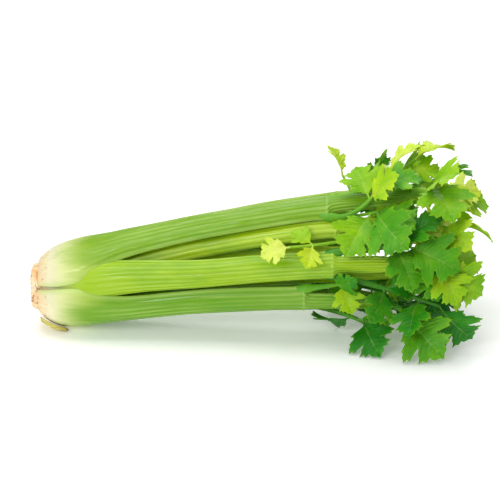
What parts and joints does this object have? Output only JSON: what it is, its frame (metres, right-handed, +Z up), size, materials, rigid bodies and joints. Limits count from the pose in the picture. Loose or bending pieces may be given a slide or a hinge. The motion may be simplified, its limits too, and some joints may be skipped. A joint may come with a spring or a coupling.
{
  "type": "head of celery",
  "caption": "Head of celery lying on its side: ribbed green stalks in whorls from a pale sawn base, ending in branches of toothed leaflets.",
  "frame": {"origin": "bottom centre of the bounding box, on the surface the head lies on", "axes": "+X along the head from its sawn base to its leaves, +Z up, -Y towards the side the picture shows"},
  "size_m": [0.3888, 0.181, 0.1594],
  "materials": {
    "base": "matte",
    "outer_stalk": "satin",
    "inner_stalk": "satin",
    "leaf": "satin"
  },
  "bodies": {
    "root": {"crown": "base", "heart_stalk_1": "inner_stalk", "heart_stalk_1_leaves_end": "leaf", "heart_stalk_2": "inner_stalk", "heart_stalk_2_leaves_end": "leaf", "heart_stalk_3": "inner_stalk", "heart_stalk_3_leaves_end": "leaf", "inner_stalk_1": "inner_stalk", "inner_stalk_1_leaves_end": "leaf", "inner_stalk_1_leaves_high": "leaf", "inner_stalk_1_leaves_low": "leaf", "inner_stalk_2": "inner_stalk", "inner_stalk_2_leaves_end": "leaf", "inner_stalk_2_leaves_low": "leaf", "inner_stalk_3": "inner_stalk", "inner_stalk_3_leaves_end": "leaf", "inner_stalk_3_leaves_high": "leaf", "inner_stalk_3_leaves_low": "leaf", "inner_stalk_4": "inner_stalk", "inner_stalk_4_leaves_end": "leaf", "inner_stalk_4_leaves_high": "leaf", "inner_stalk_5": "inner_stalk", "inner_stalk_5_leaves_end": "leaf", "inner_stalk_5_leaves_low": "leaf", "outer_stalk_1": "outer_stalk", "outer_stalk_1_leaves_end": "leaf", "outer_stalk_1_leaves_high": "leaf", "outer_stalk_1_leaves_low": "leaf", "outer_stalk_2": "outer_stalk", "outer_stalk_2_leaves_end": "leaf", "outer_stalk_2_leaves_high": "leaf", "outer_stalk_2_leaves_low": "leaf", "outer_stalk_3": "outer_stalk", "outer_stalk_3_leaves_end": "leaf", "outer_stalk_3_leaves_high": "leaf", "outer_stalk_3_leaves_low": "leaf", "outer_stalk_4": "outer_stalk", "outer_stalk_4_leaves_end": "leaf", "outer_stalk_4_leaves_high": "leaf", "outer_stalk_4_leaves_low": "leaf", "outer_stalk_5": "outer_stalk", "outer_stalk_5_leaves_end": "leaf", "outer_stalk_5_leaves_high": "leaf", "outer_stalk_5_leaves_low": "leaf", "outer_stalk_6": "outer_stalk", "outer_stalk_6_leaves_end": "leaf", "outer_stalk_6_leaves_high": "leaf", "outer_stalk_6_leaves_low": "leaf", "trimmed_stub": "base"}
  },
  "joints": []
}
